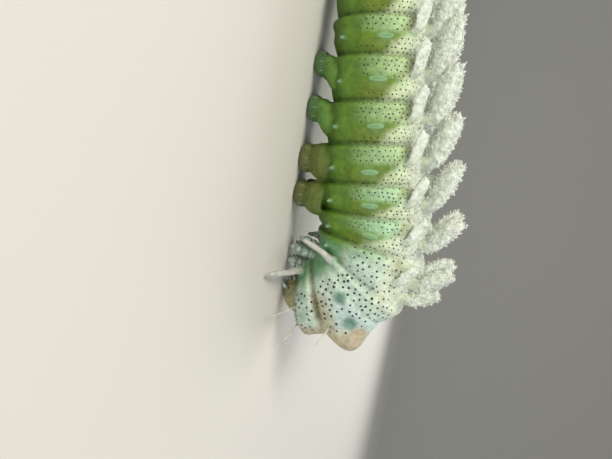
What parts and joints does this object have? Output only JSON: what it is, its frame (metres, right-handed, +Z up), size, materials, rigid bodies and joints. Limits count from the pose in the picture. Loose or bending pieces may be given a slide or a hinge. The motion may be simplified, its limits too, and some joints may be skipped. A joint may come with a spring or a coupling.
{
  "type": "atlas moth larva model",
  "caption": "Life-size atlas moth larva resting on its false legs, fore body curled down over the head, with rows of waxed fingers along the back.",
  "frame": {"origin": "middle of the larva's bounding box, on the floor under it", "axes": "+X towards the head, +Z up through the back, -Y out of the right flank"},
  "size_m": [0.0998, 0.0392, 0.0382],
  "materials": {
    "skin": "soft green skin with a thin bloom of white powder",
    "wax": "dry white flaked wax over pale green skin",
    "horn": "smooth tan and grey-green horn with a soft gloss"
  },
  "bodies": {
    "root": {"abdomen_1": "wax", "abdomen_10": "skin", "abdomen_2": "wax", "abdomen_3": "wax", "abdomen_4": "wax", "abdomen_5": "wax", "abdomen_6": "wax", "abdomen_7": "wax", "abdomen_8": "wax", "abdomen_9": "wax", "antenna_left": "horn", "antenna_right": "horn", "clasper_left": "skin", "clasper_right": "skin", "head": "horn", "leg_1_left": "horn", "leg_1_right": "horn", "leg_2_left": "horn", "leg_2_right": "horn", "leg_3_left": "horn", "leg_3_right": "horn", "proleg_3_left": "skin", "proleg_3_right": "skin", "proleg_4_left": "skin", "proleg_4_right": "skin", "proleg_5_left": "skin", "proleg_5_right": "skin", "proleg_6_left": "skin", "proleg_6_right": "skin", "thorax_1": "skin", "thorax_2": "skin", "thorax_3": "skin"}
  },
  "joints": []
}
